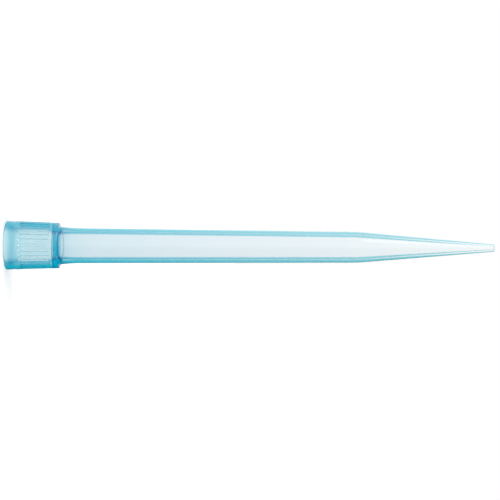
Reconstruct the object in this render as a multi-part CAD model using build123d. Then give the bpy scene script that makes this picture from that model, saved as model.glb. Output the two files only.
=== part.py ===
from build123d import *
import os
from math import atan2, pi, radians, tan

# Pipette tip, moulded in one piece from clear blue-tinted polypropylene. It would roll on its
# side, so it stands on its mouth. The centre of the mouth is the origin, and the axis is Z, with
# the fine end up. Lengths are in millimetres, and every z is a height above the rim's flat face.

# ---- Driving dimensions ---------------------------------------------------------------
overall_length = 90.0

# Socket: a flared mouth, a cylindrical seat that seals on the pipette's nozzle, then a taper
# up to the floor of the collar
seat_radius = 3.5
seat_start = 1.6  # above the rim
seat_length = 2.5
mouth_flare = 0.25  # how much wider than the seat the mouth is, in radius
socket_draft = 3.0  # degrees

# Collar, outside
rim_wall = 0.755
collar_length = 9.8
collar_draft = 1.84  # degrees
floor_thickness = 1.1

# Fine hollows round the collar, between ribs whose crests are flush with its taper
flute_count = 28
rib_width = 0.42
flute_depth = 0.2
flute_start = 3.0
plain_band = 1.85  # left smooth between the flutes and the shoulder

# Shallow groove and proud bead behind the lip of the rim
lip_groove_start = 1.05
lip_groove_width = 0.85
lip_groove_depth = 0.04
lip_bead_width = 0.6
lip_bead_height = 0.03

# Barrel: the ledge is the step from the socket down to the barrel's bore
ledge_width = 0.56
barrel_wall = 0.57
barrel_draft = 0.44  # degrees
root_thickening = 0.27  # extra wall where the barrel leaves the shoulder
root_flare_length = 3.7

# Graduation ring, a faint rise of the outside near the end of the barrel
level_ring_from_knee = 2.3
level_ring_width = 0.9
level_ring_height = 0.03

# Cone and orifice
cone_length = 25.1
tip_wall = 0.27
orifice_radius = 0.4
orifice_length = 1.5

# Moulded corner radii
rim_outer_round = 0.25
rim_inner_round = 0.12
shoulder_round = 0.25
root_round = 0.15
knee_round = 20.0
tip_round = 0.1
bore_entry_round = 0.15
floor_corner_round = 0.08
seat_edge_round = 0.5

ring_backing = 0.2  # how far a ring's section is sunk past the surface it joins or cuts
flare_share = 0.9  # share of the root's flare that its arc takes

# ---- Derived sizes --------------------------------------------------------------------
seat_end = seat_start + seat_length
floor_z = collar_length - floor_thickness
knee_z = overall_length - cone_length
mouth_radius = seat_radius + mouth_flare
rim_radius = mouth_radius + rim_wall
floor_radius = seat_radius - (floor_z - seat_end) * tan(radians(socket_draft))
bore_radius = floor_radius - ledge_width
tip_radius = orifice_radius + tip_wall


def collar_surface(z):
    """Outer radius of the collar's taper."""
    return rim_radius - z * tan(radians(collar_draft))


def barrel_bore(z):
    """Radius of the barrel's bore, which is drafted as its outside is."""
    return bore_radius - (z - floor_z) * tan(radians(barrel_draft))


def barrel_surface(z):
    """Outer radius of the barrel's taper."""
    return barrel_bore(z) + barrel_wall


# ---- Section --------------------------------------------------------------------------
# The root's flare is one large arc, as long as its two equal runs allow.
flare_run = root_flare_length / 2
flare_z = collar_length + flare_run
root_radius = barrel_surface(collar_length) + root_thickening
flare_lean = atan2(root_radius - barrel_surface(flare_z), flare_run)
flare_turn = flare_lean - radians(barrel_draft)
flare_round = flare_share * flare_run / tan(flare_turn / 2)

# Corners of the half section, as radius, height and corner round: up the outside from the
# mouth, then down the bore
corners = [
    (mouth_radius, 0, rim_inner_round),
    (rim_radius, 0, rim_outer_round),
    (collar_surface(collar_length), collar_length, shoulder_round),
    (root_radius, collar_length, root_round),
    (barrel_surface(flare_z), flare_z, flare_round),
    (barrel_surface(knee_z), knee_z, knee_round),
    (tip_radius, overall_length, tip_round),
    (orifice_radius, overall_length, 0),
    (orifice_radius, overall_length - orifice_length, 0),
    (barrel_bore(knee_z), knee_z, knee_round),
    (bore_radius, floor_z, bore_entry_round),
    (floor_radius, floor_z, floor_corner_round),
    (seat_radius, seat_end, 0),
    (seat_radius, seat_start, seat_edge_round),
]
outline = FilletPolyline(
    [(radius, 0, z) for radius, z, _ in corners],
    radius=[corner_round for _, _, corner_round in corners],
    close=True,
)
tip = revolve(make_face(outline), Axis.Z)


# ---- Rings ----------------------------------------------------------------------------
def ring(start, width, height, surface):
    """A ring round the axis whose section is a shallow arc on a surface. It stands proud of
    the surface by the height, or cuts into it where the height is negative."""
    end = start + width
    middle = start + width / 2
    backing = ring_backing if height > 0 else -ring_backing
    arc = ThreePointArc(
        (surface(start), 0, start),
        (surface(middle) + height, 0, middle),
        (surface(end), 0, end),
    )
    back = Polyline(
        (surface(end), 0, end),
        (surface(end) - backing, 0, end),
        (surface(start) - backing, 0, start),
        (surface(start), 0, start),
    )
    return revolve(make_face([arc, back]), Axis.Z)


lip_bead_start = lip_groove_start + lip_groove_width
level_ring_start = knee_z - level_ring_from_knee - level_ring_width / 2
tip -= ring(lip_groove_start, lip_groove_width, -lip_groove_depth, collar_surface)
tip += ring(lip_bead_start, lip_bead_width, lip_bead_height, collar_surface)
tip += ring(level_ring_start, level_ring_width, level_ring_height, barrel_surface)

# ---- Flutes ---------------------------------------------------------------------------
# Each flute is cut by a rod with round ends that lies along the collar's taper. The rod's
# radius follows from the flute's width and depth.
flute_end = collar_length - plain_band
flute_middle = (flute_start + flute_end) / 2
flute_width = 2 * pi * collar_surface(flute_middle) / flute_count - rib_width
rod_radius = (flute_width**2 / 4 + flute_depth**2) / (2 * flute_depth)
rod_lift = rod_radius - flute_depth
rod_start = Vector(0, -(collar_surface(flute_start) + rod_lift), flute_start)
rod_end = Vector(0, -(collar_surface(flute_end) + rod_lift), flute_end)
rod_section = Plane(origin=rod_start, z_dir=rod_end - rod_start) * Circle(rod_radius)
rod = extrude(rod_section, (rod_end - rod_start).length)
rod += [Pos(*end) * Sphere(rod_radius) for end in (rod_start, rod_end)]
tip -= [Rot(Z=360 * i / flute_count) * rod for i in range(flute_count)]

# ---- Output ---------------------------------------------------------------------------
os.makedirs("parts", exist_ok=True)
export_step(tip, "parts/pipette_tip.step")
print(
    f"pipette_tip: {tip.volume:.1f} mm3 of plastic, mouth {2 * mouth_radius:.2f} across,"
    f" rim {2 * rim_radius:.2f} across, bore {2 * bore_radius:.2f} across at the ledge,"
    f" knee {2 * barrel_surface(knee_z):.2f} across, {len(tip.solids())} solid"
)
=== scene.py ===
# %% [markdown]
# # A pipette tip in clear blue polypropylene
#
# A pipette tip is a hollow, tapered tube. Its wide collar is pushed onto the nozzle of a pipette
# and its long barrel holds the liquid. The real one is injection moulded in one shot, so it is
# one piece of plastic with one finish.
#
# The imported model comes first. It is the frame that everything else is fitted to, and it is
# kept in metres, with the mouth on the floor at the origin and the fine end up.

# %% Load the frame
from math import asin, atan2, hypot, pi, radians, sin, sqrt, tan

import bmesh
import bpy
from mathutils import Matrix, Vector


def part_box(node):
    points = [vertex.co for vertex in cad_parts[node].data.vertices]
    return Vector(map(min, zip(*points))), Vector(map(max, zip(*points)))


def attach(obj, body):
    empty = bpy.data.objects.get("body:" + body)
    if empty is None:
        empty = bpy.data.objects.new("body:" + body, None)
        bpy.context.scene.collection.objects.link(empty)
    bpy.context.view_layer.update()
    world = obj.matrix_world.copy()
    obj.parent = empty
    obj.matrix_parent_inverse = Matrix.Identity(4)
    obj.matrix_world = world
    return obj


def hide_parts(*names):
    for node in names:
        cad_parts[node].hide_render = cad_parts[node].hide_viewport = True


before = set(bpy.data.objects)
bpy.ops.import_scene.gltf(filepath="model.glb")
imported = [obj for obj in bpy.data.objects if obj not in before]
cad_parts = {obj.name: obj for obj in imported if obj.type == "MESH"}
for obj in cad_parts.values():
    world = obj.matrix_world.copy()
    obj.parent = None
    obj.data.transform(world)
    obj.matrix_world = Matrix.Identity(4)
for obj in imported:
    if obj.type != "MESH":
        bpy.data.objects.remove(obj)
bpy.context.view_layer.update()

scene = bpy.context.scene

# %% [markdown]
# ## Sizes
#
# The frame gives the length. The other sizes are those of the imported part, in millimetres, and
# are turned to metres where they are used, because Blender would take a bare 9.0 for nine
# metres.

# %% The whole tip
MM = 0.001
TIP_NODE = "pipette_tip"
low_corner, high_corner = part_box(TIP_NODE)
overall_length = (high_corner[2] - low_corner[2]) / MM
print(f"tip: {overall_length:.2f} mm long, {(high_corner[0] - low_corner[0]) / MM:.2f} mm across")

# %% The socket, from the mouth up to the floor of the collar
seat_radius = 3.5
seat_start = 1.6
seat_end = 4.1
mouth_flare = 0.25
mouth_radius = seat_radius + mouth_flare
socket_draft = radians(3.0)

# %% The collar, outside
rim_wall = 0.755
rim_radius = mouth_radius + rim_wall
collar_length = 9.8
collar_draft = radians(1.84)
floor_thickness = 1.1
floor_z = collar_length - floor_thickness
floor_radius = seat_radius - (floor_z - seat_end) * tan(socket_draft)


def collar_surface(z):
    """Outer radius of the collar's taper."""
    return rim_radius - z * tan(collar_draft)


print(f"collar: {2 * rim_radius:.2f} mm across the rim, {2 * collar_surface(collar_length):.2f} mm"
      f" at the shoulder")

# %% The barrel and the cone
ledge_width = 0.56
bore_radius = floor_radius - ledge_width
barrel_wall = 0.57
barrel_draft = radians(0.44)
cone_length = 25.1
knee_z = overall_length - cone_length
orifice_radius = 0.4
orifice_length = 1.5
tip_wall = 0.27
tip_radius = orifice_radius + tip_wall


def barrel_bore(z):
    """Radius of the bore, which tapers as the outside does."""
    return bore_radius - (z - floor_z) * tan(barrel_draft)


def barrel_surface(z):
    """Outer radius of the barrel's taper."""
    return barrel_bore(z) + barrel_wall


print(f"barrel: {2 * barrel_surface(collar_length):.2f} mm across at the shoulder,"
      f" {2 * barrel_surface(knee_z):.2f} mm at the knee")

# %% [markdown]
# ## The section
#
# A turned or moulded round part is one outline swept about its axis. Here the outline is a
# closed wire in the XZ plane: up the outside from the mouth, then back down the bore. Each
# corner of it carries the radius of its mould corner. A vertex bevel rounds a wire's corner as
# a fillet does, if it starts at the right distance from the corner: the radius times the
# tangent of half the turn.

# %% Where the barrel leaves the shoulder
root_flare_length = 3.7
root_thickening = 0.27
flare_share = 0.9  # share of the root's flare that its arc takes
root_radius = barrel_surface(collar_length) + root_thickening
flare_run = root_flare_length / 2
flare_z = collar_length + flare_run
flare_lean = atan2(root_radius - barrel_surface(flare_z), flare_run)
flare_round = flare_share * flare_run / tan((flare_lean - barrel_draft) / 2)

# %% The corners of the half section: radius, height, corner round and steps in the round
rim_inner_round = 0.12
rim_outer_round = 0.25
shoulder_round = 0.25
root_round = 0.15
knee_round = 20.0
tip_round = 0.1
bore_entry_round = 0.15
floor_corner_round = 0.08
seat_edge_round = 0.5
corners = [
    (mouth_radius, 0, rim_inner_round, 5),
    (rim_radius, 0, rim_outer_round, 8),
    (collar_surface(collar_length), collar_length, shoulder_round, 8),
    (root_radius, collar_length, root_round, 6),
    (barrel_surface(flare_z), flare_z, flare_round, 8),
    (barrel_surface(knee_z), knee_z, knee_round, 10),
    (tip_radius, overall_length, tip_round, 6),
    (orifice_radius, overall_length, 0, 0),
    (orifice_radius, overall_length - orifice_length, 0, 0),
    (barrel_bore(knee_z), knee_z, knee_round, 10),
    (bore_radius, floor_z, bore_entry_round, 6),
    (floor_radius, floor_z, floor_corner_round, 5),
    (seat_radius, seat_end, 0, 0),
    (seat_radius, seat_start, seat_edge_round, 6),
]


# %% The wire, with its corners rounded
def section_point(radius, z):
    """A point of the section, from its radius and height in millimetres."""
    return Vector((radius * MM, 0, z * MM))


def round_corner(mesh, vert, radius, steps):
    """Rounds one corner of a wire as a fillet of a radius does."""
    before, after = (edge.other_vert(vert).co - vert.co for edge in vert.link_edges)
    run = radius * MM * tan((pi - before.angle(after)) / 2)
    bmesh.ops.bevel(
        mesh,
        geom=[vert],
        offset=run,
        offset_type="OFFSET",
        segments=steps,
        profile=0.5,
        affect="VERTICES",
        material=-1,
    )


tip_mesh = bmesh.new()
wire = [tip_mesh.verts.new(section_point(radius, z)) for radius, z, _, _ in corners]
for vert, following in zip(wire, wire[1:] + wire[:1]):
    tip_mesh.edges.new((vert, following))
for vert, (_, _, radius, steps) in zip(wire, corners):
    if radius > 0:
        round_corner(tip_mesh, vert, radius, steps)
print(f"section: {len(tip_mesh.verts)} points after rounding")

# %% [markdown]
# ## The rings round the outside
#
# Three rings follow the outline: a shallow groove behind the lip of the rim, a low bead behind
# that, and a faint graduation ring near the end of the barrel. Each is an arc a few hundredths
# of a millimetre high. The wire is cut at the heights of the arc, and the cut points on the
# outside move in or out along the radius.


# %% Cut the wire and press the rings
def cut_wire(mesh, heights):
    """Adds a point to the wire wherever it crosses one of the heights."""
    for z in heights:
        bmesh.ops.bisect_plane(
            mesh,
            geom=mesh.verts[:] + mesh.edges[:],
            dist=1e-7,
            plane_co=(0, 0, z * MM),
            plane_no=(0, 0, 1),
        )


ON_THE_SURFACE = 0.01  # how near to a surface a point of the wire has to be, in millimetres


def press_ring(mesh, start, width, height, surface, steps=8):
    """Raises a ring of a shallow arc on a surface, or sinks it where the height is negative."""
    cut_wire(mesh, [start + width * i / steps for i in range(steps + 1)])
    pressed = 0
    for vert in mesh.verts:
        along = (vert.co.z / MM - start) / width
        outside = abs(vert.co.x / MM - surface(vert.co.z / MM)) < ON_THE_SURFACE
        if outside and 0 < along < 1:
            rise = height * (1 - (2 * along - 1) ** 2)
            bmesh.ops.translate(mesh, verts=[vert], vec=(rise * MM, 0, 0))
            pressed += 1
    return pressed


lip_groove_start = 1.05
lip_groove_width = 0.85
lip_groove_depth = 0.04
lip_bead_start = lip_groove_start + lip_groove_width
lip_bead_width = 0.6
lip_bead_height = 0.03
level_ring_from_knee = 2.3
level_ring_width = 0.9
level_ring_height = 0.03
level_ring_start = knee_z - level_ring_from_knee - level_ring_width / 2
pressed = sum(
    press_ring(tip_mesh, start, width, height, surface)
    for start, width, height, surface in (
        (lip_groove_start, lip_groove_width, -lip_groove_depth, collar_surface),
        (lip_bead_start, lip_bead_width, lip_bead_height, collar_surface),
        (level_ring_start, level_ring_width, level_ring_height, barrel_surface),
    )
)
print(f"rings: {pressed} points moved")

# %% [markdown]
# ## The flutes
#
# Fine hollows round the collar give the fingers a grip. Each is cut by a round-ended rod laid
# along the taper, so its floor is part of a cylinder and its ends are part of a ball. The tip
# repeats once for every flute, so one wedge of it is made first, and then copied round the axis.
#
# The wedge is spun from the wire one column at a time. The columns lie where the arc of the
# flute turns by equal angles, which keeps its curve even and puts a column on each edge of
# the rib.

# %% The sizes of a flute
flute_count = 28
rib_width = 0.42
flute_depth = 0.2
flute_start = 3.0
plain_band = 1.85  # left smooth between the flutes and the shoulder
flute_end = collar_length - plain_band
flute_pitch = 2 * pi / flute_count
flute_radius = collar_surface((flute_start + flute_end) / 2)
flute_width = flute_radius * flute_pitch - rib_width
rod_radius = (flute_width**2 / 4 + flute_depth**2) / (2 * flute_depth)
rod_reach = asin(flute_width / 2 / rod_radius)
print(f"flutes: {flute_count}, each {flute_width:.2f} mm wide and {flute_depth} mm deep")

# %% Cut the wire into rings for the flutes
end_steps = 6
side_steps = 8
long_steps = 6
end_rings = [rod_radius * sin(rod_reach * i / end_steps) for i in range(end_steps + 1)]
long_rings = [
    flute_start + (flute_end - flute_start) * i / long_steps for i in range(1, long_steps)
]
cut_wire(
    tip_mesh,
    [flute_start - ring for ring in end_rings]
    + long_rings
    + [flute_end + ring for ring in end_rings],
)
print(f"section: {len(tip_mesh.verts)} points with the flutes' rings")

# %% Spin one wedge
side_columns = [
    rod_radius * sin(rod_reach * (2 * i / side_steps - 1)) / flute_radius
    for i in range(side_steps + 1)
]
rib_edge = side_columns[-1]
rib_columns = [rib_edge + (flute_pitch - 2 * rib_edge) * share for share in (0.12, 0.5, 0.88, 1)]
columns = side_columns + rib_columns

last = tip_mesh.verts[:] + tip_mesh.edges[:]
bmesh.ops.rotate(
    tip_mesh, verts=tip_mesh.verts[:], cent=(0, 0, 0), matrix=Matrix.Rotation(columns[0], 3, "Z")
)
for here, there in zip(columns, columns[1:]):
    spun = bmesh.ops.spin(
        tip_mesh,
        geom=last,
        cent=(0, 0, 0),
        axis=(0, 0, 1),
        dvec=(0, 0, 0),
        angle=there - here,
        steps=1,
        use_merge=False,
        use_normal_flip=False,
        use_duplicate=False,
    )
    last = spun["geom_last"]
print(f"wedge: {len(tip_mesh.faces)} faces in {len(columns) - 1} columns")


# %% Sink the flute into the wedge
def flute_sink(vert):
    """How far the rod cuts below the collar's surface at a point, in millimetres."""
    z = vert.co.z / MM
    across = flute_radius * atan2(vert.co.y, vert.co.x)
    beyond = max(flute_start - z, z - flute_end, 0)
    inside = rod_radius**2 - across**2 - beyond**2
    return sqrt(max(inside, 0)) - (rod_radius - flute_depth)


outside_starts = seat_radius + 0.3  # the socket lies within this radius
sunk = 0
for vert in tip_mesh.verts:
    radius = hypot(vert.co.x, vert.co.y) / MM
    sink = flute_sink(vert)
    if sink > 0 and radius > outside_starts:
        share = (radius - sink) / radius
        bmesh.ops.scale(tip_mesh, verts=[vert], vec=(share, share, 1))
        sunk += 1
print(f"flute: {sunk} points sunk")

# %% Copy the wedge round the axis and close the seams
bmesh.ops.spin(
    tip_mesh,
    geom=tip_mesh.verts[:] + tip_mesh.edges[:] + tip_mesh.faces[:],
    cent=(0, 0, 0),
    axis=(0, 0, 1),
    dvec=(0, 0, 0),
    angle=2 * pi - flute_pitch,
    steps=flute_count - 1,
    use_merge=False,
    use_normal_flip=False,
    use_duplicate=True,
)
seam_gap = 0.001 * MM
bmesh.ops.remove_doubles(tip_mesh, verts=tip_mesh.verts[:], dist=seam_gap)
first_flute = -pi / 2
bmesh.ops.rotate(
    tip_mesh, verts=tip_mesh.verts[:], cent=(0, 0, 0), matrix=Matrix.Rotation(first_flute, 3, "Z")
)
bmesh.ops.recalc_face_normals(tip_mesh, faces=tip_mesh.faces[:])
open_edges = sum(not edge.is_manifold for edge in tip_mesh.edges)
print(f"tip: {len(tip_mesh.faces)} faces, {open_edges} open edges,"
      f" {tip_mesh.calc_volume() / MM**3:.1f} mm3 of plastic")

# %% [markdown]
# Blender's spin makes its faces in an order that changes from run to run, though the points keep
# theirs. So the edges and the faces are put in the order of their points. Three points are
# enough to tell any two faces apart, and two are enough for an edge.


# %% Put the edges and the faces in a fixed order
def place_in_order(part):
    """A number for an edge or a face that depends on which points it joins, and nothing else."""
    number = 0
    for index in sorted(vert.index for vert in part.verts)[:3]:
        number = number * len(tip_mesh.verts) + index
    return number


tip_mesh.verts.index_update()
tip_mesh.edges.sort(key=place_in_order)
tip_mesh.faces.sort(key=place_in_order)
print(f"order: {len(tip_mesh.edges)} edges and {len(tip_mesh.faces)} faces sorted")

# %% Shade it smooth, with crisp edges where faces meet at a real angle
CRISP = radians(32)
for face in tip_mesh.faces:
    face.smooth = True
crisp_edges = [edge for edge in tip_mesh.edges if edge.calc_face_angle(0) > CRISP]
for edge in crisp_edges:
    edge.smooth = False
print(f"crisp edges: {len(crisp_edges)}")

# %% [markdown]
# ## Which skin is which
#
# The finish needs to know the inside of the tip from the outside. A mesh can carry such a fact
# with it as an attribute: here a number on every point, 1 on the socket and the bore and 0 on
# the outside. A point is inside if its normal leans towards the axis.

# %% Mark the bore
leans_inwards = -0.3
bore_side = tip_mesh.verts.layers.float.new("bore_side")
for vert in tip_mesh.verts:
    outwards = Vector((vert.co.x, vert.co.y, 0)).normalized()
    vert[bore_side] = 1.0 if vert.normal.dot(outwards) < leans_inwards else 0.0
inside = sum(vert[bore_side] for vert in tip_mesh.verts)
print(f"bore: {inside:.0f} of {len(tip_mesh.verts)} points")

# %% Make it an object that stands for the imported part
tip_data = bpy.data.meshes.new("moulded_tip")
tip_mesh.to_mesh(tip_data)
tip_mesh.free()
moulded_tip = bpy.data.objects.new("moulded_tip", tip_data)
scene.collection.objects.link(moulded_tip)
flat_faces = moulded_tip.modifiers.new("flat_faces", "WEIGHTED_NORMAL")
flat_faces.keep_sharp = True
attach(moulded_tip, "root")
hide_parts(TIP_NODE)
print(f"object: {moulded_tip.name}, {len(tip_data.polygons)} faces")

# %% [markdown]
# ## Polypropylene, injection moulded
#
# Polypropylene with a little blue dye is clear in a thin wall, but not as clear as glass: its
# fine crystals scatter some of the light, so light that enters a thick part wanders through a
# lot of dye before it leaves. The eye sees a barrel with hardly any colour, a bluer collar,
# and the deepest blue in the solid floor between them. Where it looks along a wall instead of
# through it, it sees a strong blue outline.
#
# This material leaves the scattering out. A plain Volume Absorption takes off what a straight ray
# would lose, and the surface's own colour stands in for the rest. A transparent surface tints
# light each time the light crosses it, so this colour works like a thin layer of dye on each
# skin. It is mixed from three runs of colour along the tip: one for the outside, one for the
# bore, and one for where a skin turns away from the eye. The last one follows the direction of
# the ray, so an exported model, whose colours are fixed, has no such outline.


# %% Helpers for colours and nodes
def linear(hex_colour):
    """The linear colour of an sRGB hex value, with an alpha of 1."""
    values = [int(hex_colour[i : i + 2], 16) / 255 for i in (1, 3, 5)]
    return [v / 12.92 if v <= 0.04045 else ((v + 0.055) / 1.055) ** 2.4 for v in values] + [1]


def add_node(tree, kind, settings=None, inputs=None):
    """Adds a node, sets its properties, and gives each input a value or another node's output."""
    node = tree.nodes.new(kind)
    for name, value in (settings or {}).items():
        setattr(node, name, value)
    for key, value in (inputs or {}).items():
        if isinstance(value, bpy.types.NodeSocket):
            tree.links.new(value, node.inputs[key])
        else:
            node.inputs[key].default_value = value
    return node


def new_material(name):
    """A material with an empty node tree."""
    material = bpy.data.materials.new(name)
    material.use_nodes = True
    material.node_tree.nodes.clear()
    return material, material.node_tree


# %% The height along the tip, from 0 at the mouth to 1 at the fine end
polypropylene, tree = new_material("moulded_blue_polypropylene")
place = add_node(tree, "ShaderNodeTexCoord")
across_and_up = add_node(
    tree, "ShaderNodeSeparateXYZ", inputs={"Vector": place.outputs["Object"]}
)
height = add_node(
    tree,
    "ShaderNodeMath",
    {"operation": "DIVIDE"},
    {0: across_and_up.outputs["Z"], 1: overall_length * MM},
)
print(f"height: 1 stands for {overall_length:.2f} mm")

# %% [markdown]
# ## Three runs of colour
#
# A colour ramp over the height gives each run. Each of its stops is a height above the mouth in
# millimetres and the colour there. On the outside, the lip is pale at its very end and bluest
# behind it, with a second, weaker blue line at the groove. Above the shoulder the colour fades
# all the way to the fine end, because the wall gets thinner. The outline's colour fades the same
# way, from a strong cyan blue to a pale one.

# %% The colours of the outside
lip_tints = [
    (0.0, "#EAF7FA"),
    (0.2, "#EAF7FA"),
    (0.4, "#C0E5EF"),
    (0.75, "#9CD7E5"),
    (1.1, "#77C7DC"),
    (1.4, "#84CDDF"),
    (1.65, "#A6DBE8"),
    (1.9, "#C8E9F2"),
    (2.05, "#CDEBF3"),
    (2.2, "#BEE5EF"),
    (2.4, "#D7F0F6"),
    (2.6, "#EAF8FB"),
]
lower_barrel_z = 16.0
middle_barrel_z = 31.0
outside_tints = lip_tints + [
    (collar_length - 0.1, "#EAF8FB"),
    (collar_length + 0.1, "#CBE7F2"),
    (flare_z, "#DAEDF4"),
    (lower_barrel_z, "#E6F1F6"),
    (middle_barrel_z, "#EEF5F9"),
    (knee_z, "#F5F9FB"),
    (overall_length, "#FBFDFE"),
]
print(f"outside: {len(outside_tints)} colours, {len(lip_tints)} of them on the lip")

# %% The colours of the bore
bore_tints = [
    (0.0, "#E8F9FD"),
    (floor_z, "#E8F9FD"),
    (collar_length, "#F0F8FB"),
    (overall_length, "#FCFEFE"),
]
print(f"bore: {len(bore_tints)} colours")

# %% The colours of the outline
edge_tints = [
    (0.0, "#08B2D4"),
    (floor_z - 0.1, "#08B2D4"),
    (floor_z + 0.05, "#0087BD"),
    (collar_length, "#0087BD"),
    (flare_z, "#0CA9CB"),
    (knee_z, "#46B9CE"),
    (overall_length, "#44BACB"),
]
print(f"outline: {len(edge_tints)} colours")

# %% A ramp for each
ramps = {}
for part, tints in (("outside", outside_tints), ("bore", bore_tints), ("edge", edge_tints)):
    ramp = add_node(tree, "ShaderNodeValToRGB", inputs={"Fac": height.outputs[0]})
    stops = ramp.color_ramp.elements
    while len(stops) < len(tints):
        stops.new(1.0)
    for stop, (z, tint) in zip(stops, tints):
        stop.position = z / overall_length
        stop.color = linear(tint)
    ramps[part] = ramp.outputs["Color"]
skin = add_node(tree, "ShaderNodeAttribute", {"attribute_name": "bore_side"})
skin_tint = add_node(
    tree,
    "ShaderNodeMix",
    {"data_type": "RGBA"},
    {0: skin.outputs["Fac"], 6: ramps["outside"], 7: ramps["bore"]},
)
print("ramps:", sorted(ramps))

# %% [markdown]
# ## The solid floor of the collar
#
# Between the socket's floor and the shoulder the collar is solid plastic, and on the real tip
# this is the darkest band. The deep colour goes on the bore beside the floor, and above the
# shoulder on the outside, where it fades out up the thick root of the barrel. It is put only
# where a ray goes inwards, which is the near wall. If the far wall had it too, a second band
# would show through the barrel. A ray that goes inwards meets the outside from its front and
# the bore from its back. Both can be asked for at once: the Backfacing of the Geometry node
# then equals the bore mark. An exported model keeps only part of this band.

# %% Where a ray goes inwards through a skin
facing = add_node(tree, "ShaderNodeNewGeometry")
near_wall = add_node(
    tree,
    "ShaderNodeMath",
    {"operation": "COMPARE"},
    {0: facing.outputs["Backfacing"], 1: skin.outputs["Fac"], 2: 0.5},
)
print("near wall: front of the outside, back of the bore")

# %% Heights of the solid floor, which fades out a little way up the barrel's root
floor_shows_from = floor_z + 0.12
shoulder_shows_from = collar_length - 0.02
above_floor, above_shoulder = (
    add_node(
        tree,
        "ShaderNodeMath",
        {"operation": "GREATER_THAN"},
        {0: height.outputs[0], 1: z / overall_length},
    )
    for z in (floor_shows_from, shoulder_shows_from)
)
root_fades_from = collar_length + 0.15
root_fades_to = collar_length + 1.05
below_root = add_node(
    tree,
    "ShaderNodeMapRange",
    {"interpolation_type": "SMOOTHSTEP"},
    {
        "Value": height.outputs[0],
        "From Min": root_fades_from / overall_length,
        "From Max": root_fades_to / overall_length,
        "To Min": 1.0,
        "To Max": 0.0,
    },
)
print(f"solid floor: shows from {floor_shows_from:.2f} to {root_fades_to:.2f} mm")

# %% The deep colour: on the bore from floor to shoulder, and on the outside above that
beside_floor = add_node(
    tree,
    "ShaderNodeMath",
    {"operation": "SUBTRACT"},
    {0: above_floor.outputs[0], 1: above_shoulder.outputs[0]},
)
deep_part = add_node(
    tree,
    "ShaderNodeMix",
    {"data_type": "FLOAT"},
    {0: skin.outputs["Fac"], 2: above_shoulder.outputs[0], 3: beside_floor.outputs[0]},
)
near_root = add_node(
    tree,
    "ShaderNodeMath",
    {"operation": "MULTIPLY"},
    {0: near_wall.outputs[0], 1: below_root.outputs[0]},
)
near_deep, near_floor = (
    add_node(
        tree,
        "ShaderNodeMath",
        {"operation": "MULTIPLY"},
        {0: near_root.outputs[0], 1: reach.outputs[0]},
    )
    for reach in (deep_part, above_floor)
)
floor_tint = linear("#028BB4")
facing_tint = add_node(
    tree,
    "ShaderNodeMix",
    {"data_type": "RGBA"},
    {0: near_deep.outputs[0], 6: skin_tint.outputs[2], 7: floor_tint},
)
print("deep colour: mixed over the skins' own")

# %% [markdown]
# ## The outline
#
# Near the outline a ray runs along inside the wall and crosses many times more plastic than at
# the middle. Layer Weight tells how far a surface turns away from the ray. With the surface's
# own normal, every flute would break the outline into streaks, so it is given the direction
# straight out from the axis instead. The outline starts sooner round the collar, whose wall is
# thick and rough, and soonest round the solid floor, which has no hollow to look through.

# %% How far the wall turns away from the eye
outwards = add_node(
    tree,
    "ShaderNodeVectorMath",
    {"operation": "MULTIPLY"},
    {0: place.outputs["Object"], 1: (1, 1, 0)},
)
straight_out = add_node(
    tree, "ShaderNodeVectorMath", {"operation": "NORMALIZE"}, {0: outwards.outputs[0]}
)
look = add_node(
    tree, "ShaderNodeLayerWeight", inputs={"Blend": 0.5, "Normal": straight_out.outputs[0]}
)
collar_turns_at = 0.18
barrel_turns_at = 0.34
wall_turned_by = 0.47
floor_turns_at = 0.08
floor_turned_by = 0.22
print(f"outline: from {collar_turns_at} on the collar and {barrel_turns_at} on the barrel")

# %% Mix the outline's colour over the others
wall_turns_at = add_node(
    tree,
    "ShaderNodeMix",
    {"data_type": "FLOAT"},
    {0: above_floor.outputs[0], 2: collar_turns_at, 3: barrel_turns_at},
)
turns_at = add_node(
    tree,
    "ShaderNodeMix",
    {"data_type": "FLOAT"},
    {0: near_floor.outputs[0], 2: wall_turns_at.outputs[0], 3: floor_turns_at},
)
turned_by = add_node(
    tree,
    "ShaderNodeMix",
    {"data_type": "FLOAT"},
    {0: near_floor.outputs[0], 2: wall_turned_by, 3: floor_turned_by},
)
turned_away = add_node(
    tree,
    "ShaderNodeMapRange",
    {"interpolation_type": "SMOOTHSTEP"},
    {
        "Value": look.outputs["Facing"],
        "From Min": turns_at.outputs[0],
        "From Max": turned_by.outputs[0],
    },
)
tint = add_node(
    tree,
    "ShaderNodeMix",
    {"data_type": "RGBA"},
    {0: turned_away.outputs[0], 6: facing_tint.outputs[2], 7: ramps["edge"]},
)
print(f"colour: {len(tree.nodes)} nodes so far")

# %% [markdown]
# ## The moulded skin
#
# A tip's mould is polished lengthwise, and the plastic keeps the faint lines of it. The lines
# are a noise that is stretched along the axis, and they change both how rough the skin is and,
# by about a thousandth of a millimetre, its height. They are drawn coarser than real ones, which
# would be too fine to show. The collar's mould is left less bright than the barrel's.

# %% Polishing lines
line_width = 0.12
line_length = 3.0
stretched = add_node(
    tree,
    "ShaderNodeMapping",
    inputs={"Vector": place.outputs["Object"], "Scale": (1, 1, line_width / line_length)},
)
lines = add_node(
    tree,
    "ShaderNodeTexNoise",
    inputs={"Vector": stretched.outputs[0], "Scale": 1 / (line_width * MM), "Detail": 3.0},
)
print(f"lines: {line_width} mm wide and {line_length} mm long")

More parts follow.
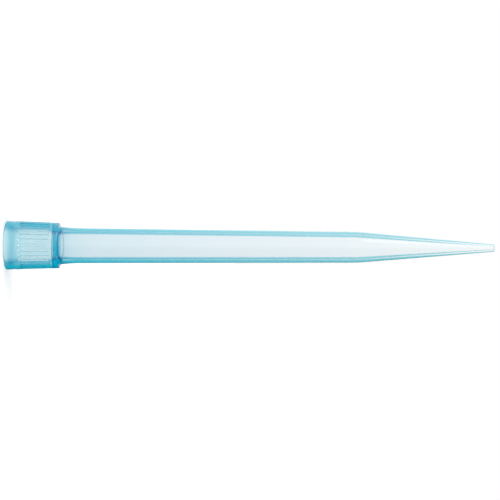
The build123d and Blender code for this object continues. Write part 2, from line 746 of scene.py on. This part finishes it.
# %% Roughness and relief
collar_roughness = 0.18
barrel_roughness = 0.08
plain_roughness = add_node(
    tree,
    "ShaderNodeMapRange",
    inputs={
        "Value": height.outputs[0],
        "From Min": collar_length / overall_length,
        "From Max": flare_z / overall_length,
        "To Min": collar_roughness,
        "To Max": barrel_roughness,
    },
)
line_roughness = 0.04
roughness = add_node(
    tree,
    "ShaderNodeMath",
    {"operation": "MULTIPLY_ADD"},
    {0: lines.outputs[0], 1: line_roughness, 2: plain_roughness.outputs[0]},
)
line_depth = 0.004
line_strength = 0.3
relief = add_node(
    tree,
    "ShaderNodeBump",
    inputs={"Strength": line_strength, "Distance": line_depth * MM, "Height": lines.outputs[0]},
)
print(f"roughness: {collar_roughness} on the collar, {barrel_roughness} on the barrel")

# %% The plastic itself
body = add_node(
    tree,
    "ShaderNodeBsdfPrincipled",
    inputs={
        "Base Color": tint.outputs[2],
        "Roughness": roughness.outputs[0],
        "IOR": 1.49,
        "Transmission Weight": 1.0,
        "Normal": relief.outputs[0],
    },
)
absorption = add_node(
    tree, "ShaderNodeVolumeAbsorption", inputs={"Color": (0.2, 0.7, 0.8, 1), "Density": 25.0}
)
add_node(
    tree,
    "ShaderNodeOutputMaterial",
    inputs={"Surface": body.outputs["BSDF"], "Volume": absorption.outputs["Volume"]},
)
moulded_tip.data.materials.append(polypropylene)
print(f"material: {polypropylene.name}, {len(tree.nodes)} nodes")

# %% [markdown]
# Light that gets into the edge of a wall can be caught there: it runs round inside the plastic
# and is thrown back at every skin, much as in a glass fibre. After its last bounce Cycles makes
# such a ray black, which would draw black lines on the collar. So the rays get more bounces.

# %% Bounces
scene.cycles.max_bounces = 128
scene.cycles.transmission_bounces = 128
scene.cycles.glossy_bounces = 64
print(f"bounces: {scene.cycles.max_bounces}")

# %% [markdown]
# ## The studio
#
# A clear object has hardly any look of its own: it shows what is behind it and what it mirrors.
# A maker of such pictures hangs white cloth all round, which is a light tent, so the world is
# white. But a tip that mirrors white on all sides has no shaded side, so the tent is open on
# one side: mirrored rays find it bright to the -X side and dark to the +X side. Rays that only
# pass through the plastic find plain white, and rays that light the floor find a little less,
# so that nothing pale clips.

# %% The light tent
tent_walls = {"From Min": -0.2, "From Max": 0.4, "To Min": 1.3, "To Max": 0.0}
floor_light = 0.75
world = bpy.data.worlds.new("light_tent")
scene.world = world
world.use_nodes = True
tent = world.node_tree
tent.nodes.clear()
ray = add_node(tent, "ShaderNodeLightPath")
direction = add_node(tent, "ShaderNodeTexCoord")
towards = add_node(
    tent, "ShaderNodeSeparateXYZ", inputs={"Vector": direction.outputs["Generated"]}
)
open_side = add_node(
    tent,
    "ShaderNodeMapRange",
    {"interpolation_type": "SMOOTHSTEP"},
    {"Value": towards.outputs["X"], **tent_walls},
)
print(f"tent: {tent_walls['To Min']} on its bright side, {tent_walls['To Max']} on the open one")

# %% What each kind of ray finds there
mirrored = add_node(
    tent,
    "ShaderNodeMath",
    {"operation": "SUBTRACT", "use_clamp": True},
    {0: ray.outputs["Is Reflection Ray"], 1: ray.outputs["Is Diffuse Ray"]},
)
seen = add_node(
    tent,
    "ShaderNodeMix",
    {"data_type": "FLOAT"},
    {0: mirrored.outputs[0], 2: 1.0, 3: open_side.outputs[0]},
)
strength = add_node(
    tent,
    "ShaderNodeMix",
    {"data_type": "FLOAT"},
    {0: ray.outputs["Is Diffuse Ray"], 2: seen.outputs[0], 3: floor_light},
)
sky = add_node(
    tent, "ShaderNodeBackground", inputs={"Color": (1, 1, 1, 1), "Strength": strength.outputs[0]}
)
add_node(tent, "ShaderNodeOutputWorld", inputs={"Surface": sky.outputs[0]})
print(f"world: {len(tent.nodes)} nodes")

# %% [markdown]
# ## The floor
#
# The floor is a sheet of matt white paper. The camera sees it a little brighter than it is lit,
# so it comes out almost white and keeps a soft shadow. Rays that the plastic bends or mirrors
# find it as they find the tent, so the tip looks the same in front of either. Close round the
# tip's foot the paper's bright and dark sides pass softly into each other, or a steep look down
# would mirror a hard line along the barrel. From below the paper is left clear, so that the
# mouth can be looked at from there.

# %% A sheet of paper
floor_width = 8.0  # metres
floor_mesh = bmesh.new()
bmesh.ops.create_grid(floor_mesh, x_segments=1, y_segments=1, size=floor_width / 2)
floor_data = bpy.data.meshes.new("floor")
floor_mesh.to_mesh(floor_data)
floor_mesh.free()
floor = bpy.data.objects.new("floor", floor_data)
scene.collection.objects.link(floor)
print(f"floor: {floor_width:.0f} m square")

# %% The paper as the camera sees it
paper, tree = new_material("white_paper")
ray = add_node(tree, "ShaderNodeLightPath")
matt = add_node(tree, "ShaderNodeBsdfDiffuse", inputs={"Color": linear("#ECECEC")})
camera_lift = 0.36
lift = add_node(
    tree,
    "ShaderNodeMath",
    {"operation": "MULTIPLY"},
    {0: ray.outputs["Is Camera Ray"], 1: camera_lift},
)
glow = add_node(tree, "ShaderNodeEmission", inputs={"Strength": lift.outputs[0]})
lit = add_node(tree, "ShaderNodeAddShader", inputs={0: matt.outputs[0], 1: glow.outputs[0]})
print(f"paper: lifted by {camera_lift} for the camera")

# %% The paper as the plastic shows it, which matches the tent
spot = add_node(tree, "ShaderNodeTexCoord")
compass = add_node(
    tree, "ShaderNodeVectorMath", {"operation": "NORMALIZE"}, {0: spot.outputs["Object"]}
)
bearing = add_node(tree, "ShaderNodeSeparateXYZ", inputs={"Vector": compass.outputs[0]})
from_foot = add_node(
    tree, "ShaderNodeVectorMath", {"operation": "LENGTH"}, {0: spot.outputs["Object"]}
)
foot_limits = {"From Min": -0.9, "From Max": 0.9}
foot_fade = {"From Min": 20 * MM, "From Max": 70 * MM}
paper_limits = {
    limit: add_node(
        tree,
        "ShaderNodeMapRange",
        inputs={
            "Value": from_foot.outputs["Value"],
            **foot_fade,
            "To Min": foot_limits[limit],
            "To Max": tent_walls[limit],
        },
    ).outputs[0]
    for limit in foot_limits
}
print("paper: its soft middle ends", round(foot_fade["From Max"] / MM), "mm from the tip")

# %% Its bright and its dark side
open_side = add_node(
    tree,
    "ShaderNodeMapRange",
    {"interpolation_type": "SMOOTHSTEP"},
    {"Value": bearing.outputs["X"], **tent_walls, **paper_limits},
)
mirrored = add_node(
    tree,
    "ShaderNodeMix",
    {"data_type": "FLOAT"},
    {0: ray.outputs["Is Reflection Ray"], 2: 1.0, 3: open_side.outputs[0]},
)
white = add_node(tree, "ShaderNodeEmission", inputs={"Strength": mirrored.outputs[0]})
print("paper: white through the plastic, and open on the tent's side when mirrored")

# %% Which of the two a ray finds, and clear from below
through_plastic = add_node(
    tree,
    "ShaderNodeMath",
    {"operation": "SUBTRACT", "use_clamp": True},
    {0: ray.outputs["Is Glossy Ray"], 1: ray.outputs["Is Diffuse Ray"]},
)
above = add_node(
    tree,
    "ShaderNodeMixShader",
    inputs={0: through_plastic.outputs[0], 1: lit.outputs[0], 2: white.outputs[0]},
)
below = add_node(tree, "ShaderNodeBsdfTransparent")
side = add_node(tree, "ShaderNodeNewGeometry")
surface = add_node(
    tree,
    "ShaderNodeMixShader",
    inputs={0: side.outputs["Backfacing"], 1: above.outputs[0], 2: below.outputs[0]},
)
add_node(tree, "ShaderNodeOutputMaterial", inputs={"Surface": surface.outputs[0]})
floor.data.materials.append(paper)
print(f"material: {paper.name}, {len(tree.nodes)} nodes")

# %% [markdown]
# ## The lamp
#
# One large soft lamp stands for a window. It is as wide as fifty degrees of the sky, so its
# shadow has no edge, and it is weak beside the tent's light.

# %% Window
lamp_data = bpy.data.lights.new("window", "SUN")
lamp_data.energy = 0.8
lamp_data.angle = radians(50)
lamp = bpy.data.objects.new("window", lamp_data)
window_direction = Vector((-0.8, -0.5, 0.7))
lamp.rotation_euler = window_direction.to_track_quat("Z", "Y").to_euler()
scene.collection.objects.link(lamp)
print(f"lamp: {lamp_data.energy} at {lamp_data.angle * 180 / pi:.0f} degrees wide")

# %% [markdown]
# ## The camera
#
# The camera looks at the tip square on from the front, half way up. The tip stands upright, and
# the camera is turned a quarter turn about its own line of sight, so that the tip lies across
# the picture with its mouth on the left. A long lens from a short way off gives only a little
# perspective: the near edge of the rim shows a shallow curve.

# %% Camera
camera_side = 0.62
camera_distance = 286.0
camera_height = 44.93
camera_roll = radians(0.35)
camera_data = bpy.data.cameras.new("camera")
camera_data.lens = 111.6
camera_data.sensor_width = 36.0
camera_data.clip_start = 0.01
camera_data.dof.use_dof = False
camera = bpy.data.objects.new("camera", camera_data)
camera_place = Vector((camera_side, -camera_distance, camera_height)) * MM
quarter_turn = Matrix(((0, -1, 0), (0, 0, -1), (1, 0, 0))).to_4x4()
camera.matrix_world = (
    Matrix.Translation(camera_place) @ quarter_turn @ Matrix.Rotation(camera_roll, 4, "Z")
)
scene.collection.objects.link(camera)
scene.camera = camera
scene.view_settings.view_transform = "Standard"
print(f"camera: {camera_distance:.0f} mm away, lens {camera_data.lens} mm")
